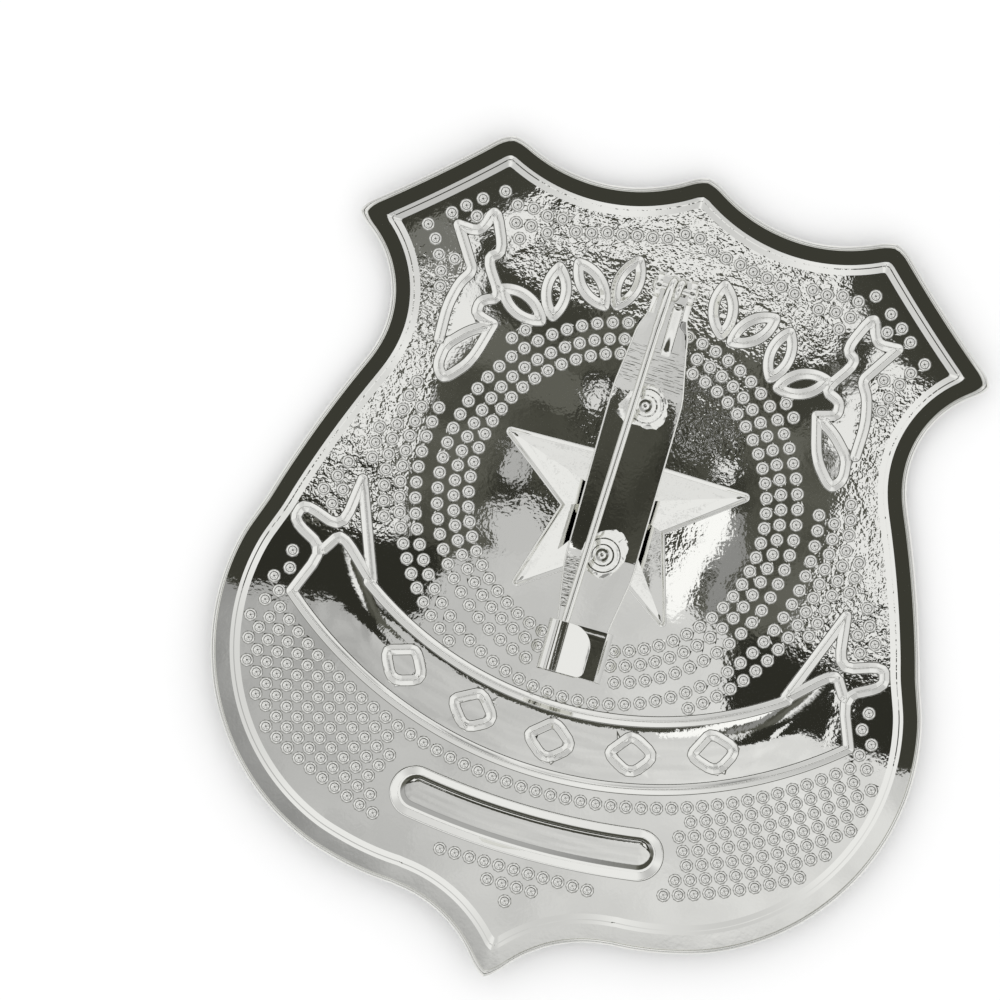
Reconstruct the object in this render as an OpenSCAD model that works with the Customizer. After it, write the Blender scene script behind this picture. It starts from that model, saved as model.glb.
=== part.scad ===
// A stamped shield badge with a brooch pin riveted to its back, lying on its face.
// +Z points out of the back and +Y to the badge's top. All sizes are in millimetres.

/* [Sheet] */
// Thickness of the stamped sheet
sheet_t = 0.5; // [0.4:0.05:0.6]
// How far the sheet dishes between its middle and 36 mm out
dish_sag = 1.1; // [0.8:0.1:1.4]
// How far the rim band is set forward of the field
rim_drop = 1.0; // [0.8:0.1:1.2]
// Width of the turned outer edge
edge_w = 0.45; // [0.3:0.05:0.6]
// Width from the outer edge to the foot of the step
band_w = 1.75; // [1.4:0.05:1.9]
// Thickness of the step between band and field
step_w = 0.55; // [0.45:0.05:0.7]

/* [Relief] */
// Distance from the star's middle to its points
star_r = 11.7; // [10:0.1:12.5]
// Distance from the star's middle to its inner corners
star_inner_r = 4.7; // [4:0.1:6]
// Depth of the star's middle below the field
star_depth = 1.1; // [0.8:0.1:1.3]
// Depth of the line work
line_depth = 0.3; // [0.2:0.05:0.35]
// Width of the line work
line_w = 0.7; // [0.5:0.05:0.9]
// Number of lozenges on the lower ribbon
lozenges = 5; // [3:2:5]
// Number of leaves on each upper spray
leaves = 4; // [3:1:4]
// Half the length of the number panel
panel_half = 13; // [11:0.5:13]
// Depth of the number panel
panel_depth = 0.9; // [0.6:0.1:1]

/* [Brooch pin] */
// Thickness of the pin bar
bar_t = 0.6; // [0.5:0.05:0.7]
// Half the width of the pin bar
bar_half = 3.3; // [3:0.1:3.5]
// Diameter of the needle's wire
wire_d = 0.75; // [0.7:0.01:0.8]
// Diameter of the root of the needle, beside its coil
root_d = 0.85; // [0.82:0.01:0.9]
// Thickness of the catch's rolled wall
catch_t = 0.45; // [0.35:0.05:0.5]
// Radius of the rivet heads
rivet_r = 1.9; // [1.7:0.05:2]

/* [Hidden] */
$fn = 180;
metal = "silver";

// The outline's right half runs down through seven arcs, each [x, y, radius, side]:
// side 1 bulges out and -1 curves in. The star's middle is the origin.
top_arc = [9.9, 43.1, 15.3, -1];
shoulder_arc = [116.6, 128.7, 139.1, -1];
waist_arc = [34.2, 10.6, 9.3, -1];
flare_arc = [-72.2, -37.2, 107.3, 1];
bulge_arc = [11.1, -17.1, 21.9, 1];
low_arc = [9.4, -11.3, 27.9, 1];
tip_arc = [11.1, -51.4, 12.2, -1];
// Bearings where arcs run smoothly into each other
waist_end = 203;
flare_from = 24;
flare_to = 15.8;
bulge_from = 17;
bulge_to = -68.5;
low_from = -72;
low_to = -86;
tip_from = 93;
// How far an outer corner is blunted
corner_ease = 0.7;

// The dish: its reach, and the number of cones that it is made of
dish_r = 36;
dish_cones = 6;
dish_step = 8;
middle_z = star_depth + sheet_t;
clear_z = 12;

// The lower ribbon's arcs share one centre, and so do the panel's two long sides
ribbon_centre = [0, 14.75];
ribbon_top_r = 34.3;
ribbon_low_r = 40.5;
ribbon_top_half = 35.5;
ribbon_low_half = 40.7;
panel_mid_y = -31.3;
panel_bend_r = 71;
panel_top_half = 2.4;
panel_floor_half = 1.0;

// The pin bar lies just clear of the dish, and the needle's coil just clear of the bar
bar_gap = 0.04;
bar_end_r = 21.3;
bar_z = dish_z(bar_end_r) + bar_gap;
bar_top = bar_z + bar_t;
coil_r = 0.75;
coil_gap = 0.1;
axle_y = 20.2;
axle_z = bar_top + coil_gap + coil_r + wire_d / 2;
axle_r = coil_r - wire_d / 2 - 0.045;
needle_x = -0.75;
needle_z = axle_z + coil_r;
needle_lean = 1.62;
root_bend = -1.5;
root_overlap = 0.3;
shaft_start = 4.2;
shaft_length = 27.4;
point_length = 4.2;
ear_t = 0.55;
ear_r = 1.15;
ear_left = -2.05;
ear_right = 1.1;
rivet_upper_at = [0.1, 9.2];
rivet_lower_at = [0, -5];
rivet_post_r = 1.2;
rivet_hole_r = 1.23;
catch_low = -16.4;
catch_high = -11.75;

function arc(c, r, from, to, n) =
    [for (i = [0:n]) let (a = from + (to - from) * i / n) [c[0] + r * cos(a), c[1] + r * sin(a)]];
function flip(points) = [for (i = [len(points) - 1:-1:0]) [-points[i][0], points[i][1]]];
function bearing(c, p) = atan2(p[1] - c[1], p[0] - c[0]);
function inset_r(c, d) = c[2] - c[3] * d;
// Where two circles cross; side picks one of the two crossings
function meet(c1, r1, c2, r2, side) =
    let (v = [c2[0] - c1[0], c2[1] - c1[1]], l = norm(v),
         a = (l * l + r1 * r1 - r2 * r2) / (2 * l), h = side * sqrt(r1 * r1 - a * a))
    [c1[0] + (a * v[0] - h * v[1]) / l, c1[1] + (a * v[1] + h * v[0]) / l];
function on_axis(c, r, side) = [0, c[1] + side * sqrt(r * r - c[0] * c[0])];

// The angle that a length spans on an arc
function turn(length, r) = length / r * 180 / PI;

// One half of the outline, a distance d inside the badge's edge
function half_outline(d) =
    let (ease = max(0, corner_ease - d),
         top_r = inset_r(top_arc, d), shoulder_r = inset_r(shoulder_arc, d),
         waist_r = inset_r(waist_arc, d), tip_r = inset_r(tip_arc, d),
         peak = on_axis(top_arc, top_r, -1),
         shoulder = meet(top_arc, top_r, shoulder_arc, shoulder_r, -1),
         corner = meet(shoulder_arc, shoulder_r, waist_arc, waist_r, -1),
         tip = on_axis(tip_arc, tip_r, 1),
         top_turn = turn(1.6 * ease, top_r), shoulder_turn = turn(ease, shoulder_r),
         waist_turn = turn(1.3 * ease, waist_r), tip_turn = turn(2.6 * ease, tip_r))
    concat(
        ease > 0 ? [peak - [0, 0.7 * ease]] : [],
        arc(top_arc, top_r, bearing(top_arc, peak) + 360 + top_turn,
            bearing(top_arc, shoulder) + 360 - turn(ease, top_r), 12),
        ease > 0 ? [shoulder - [0.05 * ease, 0.45 * ease]] : [],
        arc(shoulder_arc, shoulder_r, bearing(shoulder_arc, shoulder) + shoulder_turn,
            bearing(shoulder_arc, corner) - shoulder_turn, 2),
        ease > 0 ? [corner - [ease, -0.1 * ease]] : [],
        arc(waist_arc, waist_r, bearing(waist_arc, corner) + waist_turn, waist_end, 9),
        arc(flare_arc, inset_r(flare_arc, d), flare_from, flare_to, 3),
        arc(bulge_arc, inset_r(bulge_arc, d), bulge_from, bulge_to, 16),
        arc(low_arc, inset_r(low_arc, d), low_from, low_to, 3),
        arc(tip_arc, tip_r, tip_from, bearing(tip_arc, tip) - tip_turn, 7),
        ease > 0 ? [tip + [0, 1.7 * ease]] : []);
function outline(d) = concat(half_outline(d), flip(half_outline(d)));

heights = [for (p = outline(0)) p[1]];
star_y = -(max(heights) + min(heights)) / 2;

// The dish's back face rises with the square of the distance from its middle
function dish_z(r) = middle_z + dish_sag * pow(r / dish_r, 2);
radii = [for (i = [0:dish_cones]) i * dish_step];

// A closed band along a line of points, from one side's points back along the other's
function side_points(points, d) =
    [for (i = [0:len(points) - 1])
        let (a = points[max(i - 1, 0)], b = points[i], c = points[min(i + 1, len(points) - 1)],
             u = i > 0 ? (b - a) / norm(b - a) : (c - b) / norm(c - b),
             v = i < len(points) - 1 ? (c - b) / norm(c - b) : u,
             n = [-u[1] - v[1], u[0] + v[0]])
        b + n * d / max(0.35, 1 + u * v)];
function band(points, w) =
    let (near = side_points(points, w / 2), far = side_points(points, -w / 2))
    concat(near, [for (i = [len(far) - 1:-1:0]) far[i]]);

// A slice of the dish between two offsets from its back face
module dish_slice(low, high) {
    rotate_extrude()
        polygon(concat([for (r = radii) [r, dish_z(r) + low]],
                       [for (i = [dish_cones:-1:0]) [radii[i], dish_z(radii[i]) + high]]));
}
// All that lies behind an offset from the dish's back face
module behind_dish(low) {
    rotate_extrude()
        polygon(concat([for (r = radii) [r, dish_z(r) + low]],
                       [[radii[dish_cones], clear_z], [0, clear_z]]));
}
// All that lies in front of an offset from the dish's back face
module before_dish(high) {
    rotate_extrude()
        polygon(concat([[0, -clear_z], [radii[dish_cones], -clear_z]],
                       [for (i = [dish_cones:-1:0]) [radii[i], dish_z(radii[i]) + high]]));
}
module upright(low = -clear_z) {
    translate([0, 0, low]) linear_extrude(clear_z - low) children();
}

// The plain sheet: a turned edge, a band set forward, a step, and the dished field
module sheet_form() {
    difference() {
        intersection() {
            upright() polygon(outline(0));
            dish_slice(-rim_drop - sheet_t, 0);
        }
        intersection() {
            upright() difference() {
                polygon(outline(-1));
                polygon(outline(edge_w));
            }
            behind_dish(-rim_drop + line_depth);
        }
        intersection() {
            upright() difference() {
                polygon(outline(edge_w));
                polygon(outline(band_w));
            }
            behind_dish(-rim_drop);
        }
        intersection() {
            upright() polygon(outline(band_w + step_w));
            before_dish(-sheet_t);
        }
    }
}

// The star's five points, and the pyramid that they and its middle make
star_outline = [for (i = [0:9]) let (r = i % 2 == 0 ? star_r : star_inner_r)
    [r * sin(36 * i), r * cos(36 * i)]];
module star_pyramid(base_z, rim_h) {
    rim = [for (p = star_outline) [p[0], p[1], base_z + rim_h]];
    foot = [for (p = star_outline) [p[0], p[1], base_z]];
    polyhedron(concat(rim, foot, [[0, 0, base_z - star_depth]]),
        concat([[for (i = [0:9]) 9 - i]],
               [for (i = [0:9]) [i, (i + 1) % 10, 10 + (i + 1) % 10, 10 + i]],
               [for (i = [0:9]) [10 + i, 10 + (i + 1) % 10, 20]]));
}

// The number panel: a bent trough with sloping sides and round ends
panel_z = dish_z(-panel_mid_y + 0.8);
panel_end_turn = asin((panel_half - panel_top_half) / panel_bend_r);
module panel_trough(floor_half, top_half, floor_z, top_z, rim_z) {
    section = [[-floor_half, floor_z], [floor_half, floor_z], [top_half, top_z],
               [top_half, rim_z], [-top_half, rim_z], [-top_half, top_z]];
    translate([0, panel_mid_y + panel_bend_r, 0]) {
        rotate(-90 - panel_end_turn)
            rotate_extrude(angle = 2 * panel_end_turn)
                translate([panel_bend_r, 0]) polygon(section);
        for (turn = [-panel_end_turn, panel_end_turn])
            rotate(turn) translate([0, -panel_bend_r, 0])
                rotate_extrude()
                    polygon([[0, floor_z], [floor_half, floor_z], [top_half, top_z],
                             [top_half, rim_z], [0, rim_z]]);
    }
}

// The line work, as seen from the back: the lower ribbon with its folded ends
ribbon_tail = [[[26.5, -15.9], [24.7, -11.4], [28.1, -9.6], [27.6, -7.8], [23.6, -9.2], [23.0, -4.3]],
               [[24.7, -11.4], [23.5, -9.5], [19.9, -12.9]],
               [[23.0, -4.3], [19.7, -12.9]]];
// and the upper scroll's ends, which curl over above the rings of dots
scroll_tail = [[[20.9, 20.5], [18.8, 20.4], [18.0, 23.0], [16.3, 19.2], [17.6, 18.3], [15.4, 15.1],
                [17.1, 14.4], [17.2, 13.1], [15.4, 12.6]],
               [[20.9, 20.5], [19.2, 17.9], [18.5, 16.8], [19.4, 15.4], [19.9, 13.0], [19.8, 10.0]],
               [[15.4, 12.6], [17.4, 11.4], [19.1, 9.6], [19.3, 7.6], [18.4, 6.5], [16.4, 8.8],
                [15.4, 12.6]]];
lozenge_w = 5.0;
lozenge_h = 4.3;
lozenge_turn = 11.6;
leaf_l = 5.2;
leaf_w = 2.5;
leaf_mid_r = 20.1;
leaf_from = 13;
leaf_turn = 9.5;
leaf_tilt = 24;

module ribbon_arc(r, half) {
    polygon(band(arc(ribbon_centre, r, -90 - half, -90 + half, 18), line_w));
}
module lozenge(w, h) {
    polygon([[0, h / 2], [w / 2, 0], [0, -h / 2], [-w / 2, 0]]);
}
module leaf(l, w) {
    // two equal arcs that cross at the leaf's two points
    r = (l * l + w * w) / (4 * w);
    half = asin(l / 2 / r);
    polygon(concat(arc([w / 2 - r, 0], r, -half, half, 5),
                   arc([r - w / 2, 0], r, 180 - half, 180 + half, 5)));
}
module line_work() {
    ribbon_arc(ribbon_top_r, ribbon_top_half);
    ribbon_arc(ribbon_low_r, ribbon_low_half);
    for (side = [0, 1]) mirror([side, 0]) {
        for (line = concat(ribbon_tail, scroll_tail)) polygon(band(line, line_w));
        for (i = [0:leaves - 1])
            rotate(-leaf_from - i * leaf_turn) translate([0, leaf_mid_r])
                rotate(i % 2 == 0 ? leaf_tilt : -leaf_tilt) difference() {
                    leaf(leaf_l, leaf_w);
                    leaf(leaf_l - 2 * line_w, leaf_w - 1.3 * line_w);
                }
    }
    for (i = [0:lozenges - 1])
        translate(ribbon_centre) rotate((i - (lozenges - 1) / 2) * lozenge_turn)
            translate([0, -(ribbon_top_r + ribbon_low_r) / 2]) {
                difference() {
                    lozenge(lozenge_w, lozenge_h);
                    lozenge(lozenge_w - 2.4 * line_w, lozenge_h - 2.4 * line_w);
                }
            }
}

module shield() {
    color(metal) difference() {
        union() {
            sheet_form();
            star_pyramid(middle_z - sheet_t, 0.2);
            panel_trough(panel_floor_half + 0.25, panel_top_half + 0.35, panel_z - panel_depth - sheet_t,
                panel_z - 0.4, panel_z - 0.2);
            intersection() {
                upright() line_work();
                dish_slice(-sheet_t - line_depth, -0.7 * sheet_t);
            }
        }
        star_pyramid(middle_z, 3);
        panel_trough(panel_floor_half, panel_top_half, panel_z - panel_depth, panel_z, panel_z + 3);
        intersection() {
            upright() line_work();
            behind_dish(-line_depth);
        }
    }
}

// The pin bar's strip, from its catch end round by the left to its hinge end and back
bar_left = [[-3, -16.7], [-3, -11.9], [-2.35, -11.6], [-bar_half, -6.5], [-bar_half, 11.5], [-2.85, 15],
            [-2.7, 16.4], [ear_left, 17.3], [ear_left, bar_end_r]];
bar_right = [[ear_right + ear_t, bar_end_r], [ear_right + ear_t, 17.3], [2.0, 16.7], [2.1, 15],
             [bar_half, 10], [bar_half, -6.5], [2.4, -11.6], [3, -11.9], [3, -16.7]];
// The catch's rolled wall in section, and its trimmed lip seen from behind
catch_section = [[-2.78, bar_z + 0.3], [-2.78, 4.2], [-2.68, 4.72], [-2.4, 5.08], [-2.05, 5.25],
                 [-1.6, 5.3], [-0.9, 5.2], [1.4, 4.75]];
catch_lip = concat([[-3.3, catch_low], [-3.3, catch_high]],
                   arc([-0.9, catch_high - 2.1], 2.1, 78, 0, 6),
                   arc([0.5, catch_low + 0.7], 0.7, 0, -90, 3));
slot_from = 14.6;
slot_to = 19;
slot_mid_x = 0.5;
slot_w = 1.0;
tongue_w = 0.9;
tongue_t = 0.3;
tongue_rise = 0.75;

module ear(x) {
    translate([x, 0, 0]) rotate([90, 0, 90]) linear_extrude(ear_t) difference() {
        union() {
            polygon([[16.9, bar_z + 0.1], [16.9, bar_top + 0.3], [axle_y - 0.9, axle_z + 0.72],
                     [axle_y + ear_r, axle_z], [axle_y + ear_r - 0.05, bar_z + 0.1]]);
            translate([axle_y, axle_z]) circle(ear_r);
        }
        translate([axle_y, axle_z]) circle(axle_r + 0.03);
    }
}
module pin_bar() {
    color(metal) {
        difference() {
            union() {
                translate([0, 0, bar_z]) linear_extrude(bar_t) polygon(concat(bar_left, bar_right));
                ear(ear_left);
                ear(ear_right);
                intersection() {
                    translate([0, catch_high, 0]) rotate([90, 0, 0])
                        linear_extrude(catch_high - catch_low) polygon(band(catch_section, catch_t));
                    upright() polygon(catch_lip);
                }
                // the low wall beside the catch's mouth
                translate([2.6, -16.6, bar_z + 0.1]) cube([0.4, 4.3, 1.3]);
            }
            for (at = [rivet_upper_at, rivet_lower_at])
                translate([at[0], at[1], 0]) cylinder(r = rivet_hole_r, h = clear_z);
            translate([slot_mid_x - slot_w / 2, slot_from, 0])
                cube([slot_w, slot_to - slot_from, bar_top + 0.01]);
        }
        // the tongue punched up out of the bar, which the coil springs against
        translate([slot_mid_x - tongue_w / 2, 0, 0]) rotate([90, 0, 90]) linear_extrude(tongue_w)
            polygon([[slot_from - 0.6, bar_top - tongue_t],
                     [slot_to - 0.4, bar_top - tongue_t + tongue_rise],
                     [slot_to - 0.4, bar_top + tongue_rise], [slot_from - 0.6, bar_top + 0.02]]);
    }
}

// A rivet's post stands on the dish and its head is spun down over the bar in low steps
module rivet(at) {
    head_z = bar_top + 0.02;
    foot_z = dish_z(norm(at) + rivet_post_r) + 0.03;
    // each step of the head: how much of its radius, and how high
    steps = [[1, 0], [1, 0.18], [0.78, 0.3], [0.72, 0.25],
             [0.5, 0.4], [0.44, 0.35], [0.15, 0.46], [0, 0.46]];
    color(metal) translate([at[0], at[1], 0]) rotate_extrude()
        polygon(concat([[0, foot_z], [rivet_post_r, foot_z], [rivet_post_r, head_z]],
                       [for (s = steps) [s[0] * rivet_r, head_z + s[1]]]));
}

// The rivet through the two ears, with a head outside each
module hinge_rivet() {
    head_r = 0.62;
    head_t = 0.25;
    head_gap = 0.03;
    left = ear_left - head_gap - head_t;
    right = ear_right + ear_t + head_gap + head_t;
    color(metal) translate([left, axle_y, axle_z]) rotate([0, 90, 0]) {
        cylinder(r = axle_r, h = right - left);
        cylinder(r = head_r, h = head_t);
        translate([0, 0, right - left - head_t]) cylinder(r = head_r, h = head_t);
    }
}

// The needle: two turns of wire round the rivet, a root, a straight shaft and a ground point
module needle() {
    color(metal) {
        for (x = [needle_x, needle_x + wire_d - 0.03])
            translate([x, axle_y, axle_z]) rotate([0, 90, 0])
                rotate_extrude() translate([coil_r, 0]) circle(wire_d / 2);
        translate([needle_x, axle_y, needle_z]) rotate([90, 0, -needle_lean]) {
            // the root bends a little where it meets the shaft
            translate([0, 0, shaft_start]) rotate([0, root_bend, 0])
                translate([0, 0, -shaft_start]) cylinder(r = root_d / 2, h = shaft_start);
            translate([0, 0, shaft_start - root_overlap])
                cylinder(r = wire_d / 2, h = shaft_length + root_overlap);
            translate([0, 0, shaft_start + shaft_length])
                cylinder(r1 = wire_d / 2, r2 = 0.08, h = point_length);
        }
    }
}

translate([0, star_y, 0]) {
    shield();
    pin_bar();
    rivet(rivet_upper_at);  // rivet_upper
    rivet(rivet_lower_at);  // rivet_lower
    hinge_rivet();
    needle();
}
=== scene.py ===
import math
import bmesh
import bpy
import numpy as np
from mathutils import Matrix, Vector
from mathutils.geometry import delaunay_2d_cdt


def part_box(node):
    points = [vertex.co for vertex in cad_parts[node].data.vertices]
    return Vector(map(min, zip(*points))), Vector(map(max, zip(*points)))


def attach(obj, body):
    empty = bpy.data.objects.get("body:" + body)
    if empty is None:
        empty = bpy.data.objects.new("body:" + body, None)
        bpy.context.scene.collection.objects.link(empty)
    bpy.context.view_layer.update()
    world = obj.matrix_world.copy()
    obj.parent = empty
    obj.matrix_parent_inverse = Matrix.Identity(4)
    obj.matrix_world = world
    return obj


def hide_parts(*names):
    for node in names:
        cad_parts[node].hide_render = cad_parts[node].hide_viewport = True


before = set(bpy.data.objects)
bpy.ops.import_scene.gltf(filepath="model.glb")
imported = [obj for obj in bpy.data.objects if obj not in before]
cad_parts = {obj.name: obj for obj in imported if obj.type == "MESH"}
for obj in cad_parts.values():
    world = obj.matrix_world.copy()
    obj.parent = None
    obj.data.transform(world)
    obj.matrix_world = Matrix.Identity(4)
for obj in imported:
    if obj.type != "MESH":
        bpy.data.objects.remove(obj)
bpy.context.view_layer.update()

# The sheet. The real one is half a millimetre of steel, stamped into a die in one stroke and plated
# bright: turned edge, rim band, step, dished field, star, line work, panel and 578 dots.
# It is made as two skins of points laid along every stamped line, a sheet's thickness apart.
mm = 0.001
micron = 1e-6
sheet_low, sheet_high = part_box("shield")

# The outline's right half: the middle and the radius of each arc, in millimetres from the star's middle
top_arc = (9.9, 43.1, 15.3)
shoulder_arc = (116.6, 128.7, 139.1)
waist_arc = (34.2, 10.6, 9.3)
flare_arc = (-72.2, -37.2, 107.3)
bulge_arc = (11.1, -17.1, 21.9)
low_arc = (9.4, -11.3, 27.9)
tip_arc = (11.1, -51.4, 12.2)
flare_end, flare_blend = 24.3, 1.0
bulge_end, bulge_blend = -76, 8
flare_low_y, flare_low_blend = -12.5, 6
low_end = -88
corner_round, corner_least, corner_pull = 2.1, 0.25, 0.8
tip_round, tip_least, tip_pull = 2.75, 0.3, 0.9
far_off = 60.0
loop_start = 0.02
top_y, tip_y = 30.93, -45.15
star_y = (sheet_high.y + sheet_low.y) / 2 / mm - (top_y + tip_y) / 2

sheet_t = 0.5
dish_sag = 1.1
dish_r = 36.0
rim_drop = 0.7
rim_tilt = 0.014
edge_w = 0.45
edge_h = 0.3
band_w = 1.75
step_w = 0.95
# the step falls to its ledge, lies level, and falls again: the ledge's ends as shares of the step
ledge_from, ledge_to = 0.35, 0.45
star_r = 11.7
star_inner_r = 4.7
star_round = 0.45
star_depth = 1.1
star_lip = 0.42
star_lip_drop = 0.08
star_swell = 1.15
middle_z = star_depth + sheet_t
panel_mid_y = -31.3
panel_bend_r = 71.0
panel_half = 13.0
panel_top_half = 2.45
# the panel's slope at each distance from its middle line
panel_slopes = [(0, 0), (0.9, 0.015), (1.2, 0.055), (1.62, 0.16), (1.72, 0.8), (2.22, 0.8), (2.36, 0.15),
                (2.45, 0)]
panel_away = np.linspace(0, panel_top_half, 99)
panel_climb = np.cumsum(np.interp(panel_away, *zip(*panel_slopes))) * panel_away[1]
ribbon_puff = 0.04
ribbon_puff_end = 24.3
line_depth = 0.25
line_half = 0.42
line_edge = 0.54
line_lip_slope = 0.3
ribbon_mid_y = 14.75
# a dot's slope at each radius from its middle: a pit, its wall, a ledge and the outer wall
dot_slopes = [(0, 0), (0.09, 0), (0.2, 0.6), (0.27, 0.6), (0.37, 0.02), (0.42, 0.02), (0.5, 0.64),
              (0.56, 0.64), (0.63, 0.08), (0.65, 0)]
dot_reach = dot_slopes[-1][0]
dot_radii = np.linspace(0, dot_reach, 69)
dot_climb = np.cumsum(np.interp(dot_radii, *zip(*dot_slopes))) * dot_radii[1]


def circle_gap(x, y, arc):
    """How far each point lies from an arc's circle, outside it positive."""
    return np.hypot(x - arc[0], y - arc[1]) - arc[2]


def bearing(x, y, arc):
    """Each point's bearing from an arc's middle, in degrees."""
    return np.degrees(np.arctan2(y - arc[1], x - arc[0]))


def soft_min(a, b, width):
    """The smaller of two distances, eased where they are alike, which rounds a corner."""
    share = np.clip(0.5 + 0.5 * (b - a) / width, 0, 1)
    return b * (1 - share) + a * share - width * share * (1 - share)


def ease(t):
    """Zero to one along t, flat at both ends."""
    t = np.clip(t, 0, 1)
    return t * t * (3 - 2 * t)


def inside(x, y):
    """Distance from each point to the badge's outline, inside it positive."""
    x = np.abs(x)
    top, top_other = circle_gap(x, y, top_arc), circle_gap(-x, y, top_arc)
    shoulder, waist = circle_gap(x, y, shoulder_arc), circle_gap(x, y, waist_arc)
    tip, tip_other = circle_gap(x, y, tip_arc), circle_gap(-x, y, tip_arc)
    nearest = np.minimum.reduce([top, shoulder, waist, tip])
    width = np.clip(corner_round - corner_pull * nearest, corner_least, corner_round)
    tip_width = np.clip(tip_round - tip_pull * nearest, tip_least, tip_round)
    upper = soft_min(soft_min(soft_min(top, top_other, width), shoulder, width), waist, width)
    lower = soft_min(tip, tip_other, tip_width)
    flare, bulge, low = (-circle_gap(x, y, arc) for arc in (flare_arc, bulge_arc, low_arc))
    low = np.where(bearing(x, y, low_arc) >= low_end, low, far_off)
    flare = flare + (waist - flare) * ease((bearing(x, y, flare_arc) - flare_end) / flare_blend + 0.5)
    side = bulge + (low - bulge) * (1 - ease((bearing(x, y, bulge_arc) - bulge_end) / bulge_blend))
    side = side + (flare - side) * ease((y - flare_low_y) / flare_low_blend)
    return np.minimum(np.minimum(upper, lower), side)


def arc_line(middle, radius, start, end, spacing):
    """Points along an arc, from one bearing to another."""
    count = max(2, int(abs(math.radians(end - start)) * radius / spacing))
    turn = np.radians(np.linspace(start, end, count + 1))
    return np.column_stack([middle[0] + radius * np.cos(turn), middle[1] + radius * np.sin(turn)])


def dense(points, spacing):
    """Points along a line of straight stretches."""
    points = np.array(points, float)
    rows = []
    for a, b in zip(points[:-1], points[1:]):
        count = max(1, int(np.hypot(*(b - a)) / spacing))
        rows.append(a + (b - a) * np.arange(count)[:, None] / count)
    rows.append(points[-1:])
    return np.vstack(rows)


def softened(points):
    """A line of straight stretches with its corners cut twice, so that it bends."""
    points = np.array(points, float)
    for _ in range(2):
        near = points[:-1] * 0.8 + points[1:] * 0.2
        far = points[:-1] * 0.2 + points[1:] * 0.8
        middle = np.stack([near, far], 1).reshape(-1, 2)
        points = np.vstack([points[:1], middle[1:-1], points[-1:]])
    return points


def flip(points):
    return points[::-1] * [-1, 1]


def turned(points, degrees, middle=(0, 0)):
    c, s = math.cos(math.radians(degrees)), math.sin(math.radians(degrees))
    return np.array(points) @ np.array([[c, s], [-s, c]]) + middle


# The line work, one half of it: each line is a list of points
ribbon_tails = [
    [(26.5, -15.9), (24.7, -11.4), (28.1, -9.6), (27.6, -7.8), (23.6, -9.2), (23.0, -4.3)],
    [(24.7, -11.4), (23.5, -9.5), (19.9, -12.9)],
    [(23.0, -4.3), (19.7, -12.9)],
]
scroll_tails = [
    [(20.9, 20.5), (18.8, 20.4), (18.0, 23.0), (16.3, 19.2), (17.6, 18.3), (15.4, 15.1), (17.1, 14.4),
     (17.2, 13.1), (15.4, 12.6)],
    [(20.9, 20.5), (19.2, 17.9), (18.5, 16.8), (19.4, 15.4), (19.9, 13.0), (19.8, 10.0)],
    [(15.4, 12.6), (17.4, 11.4), (19.1, 9.6), (19.3, 7.6), (18.4, 6.5), (16.4, 8.8), (15.4, 12.6)],
]
ribbon_mid = (0, ribbon_mid_y)
ribbon_upper = (34.3, 35.5)
ribbon_lower = (40.5, 40.7)
ribbon_width = ribbon_lower[0] - ribbon_upper[0]
ribbon_centre_r = (ribbon_upper[0] + ribbon_lower[0]) / 2
leaf_size = (4.5, 1.8)
leaf_mid_r = 20.1
leaf_tilt = 24
leaf_bearings = (13, 22.5, 32, 41.5)
lozenge_size = (4.4, 3.7)
lozenge_turn = 11.6
line_gap = 0.33


def leaf(length, width):
    """Two equal arcs that cross at the leaf's two points."""
    radius = (length ** 2 + width ** 2) / (4 * width)
    half = math.degrees(math.asin(length / 2 / radius))
    right = arc_line((width / 2 - radius, 0), radius, -half, half, line_gap)
    left = arc_line((radius - width / 2, 0), radius, 180 - half, 180 + half, line_gap)
    return np.vstack([right, left[1:]])


def line_work():
    """Every stamped line as points about a third of a millimetre apart."""
    half = [dense(softened(line), line_gap) for line in ribbon_tails + scroll_tails]
    for i, place in enumerate(leaf_bearings):
        shape = turned(leaf(*leaf_size), leaf_tilt if i % 2 == 0 else -leaf_tilt) + (0, leaf_mid_r)
        half.append(turned(shape, -place))
    lines = half + [flip(line) for line in half]
    for radius, reach in (ribbon_upper, ribbon_lower):
        lines.append(arc_line(ribbon_mid, radius, -90 - reach, -90 + reach, line_gap))
    w, h = lozenge_size
    for i in (-2, -1, 0, 1, 2):
        corners = [(-w / 4, h / 4), (0, h / 2), (w / 2, 0), (0, -h / 2), (-w / 2, 0), (-w / 4, h / 4)]
        shape = dense(softened(corners), line_gap) + (0, -ribbon_centre_r)
        lines.append(turned(shape, i * lozenge_turn, ribbon_mid))
    return lines


lines = line_work()
line_starts = np.vstack([line[:-1] for line in lines])
line_steps = np.vstack([line[1:] - line[:-1] for line in lines])


class Grid:
    """Finds what lies near each point: things are filed by the square millimetres they touch."""

    def __init__(self, places, reach):
        self.cells = {}
        for i, (px, py) in enumerate(places):
            for cx in range(math.floor(px - reach), math.floor(px + reach) + 1):
                for cy in range(math.floor(py - reach), math.floor(py + reach) + 1):
                    self.cells.setdefault((cx, cy), []).append(i)

    def pairs(self, x, y):
        """For every filed square in turn, the points in it and the things near it."""
        cx, cy = np.floor(x).astype(int), np.floor(y).astype(int)
        order = np.lexsort((cy, cx))
        edges = np.flatnonzero(np.diff(cx[order]) | np.diff(cy[order])) + 1
        for rows in np.split(order, edges):
            things = self.cells.get((int(cx[rows[0]]), int(cy[rows[0]])))
            if things:
                yield rows, np.array(things)


line_grid = Grid(line_starts + line_steps / 2, 1.5)


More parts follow.
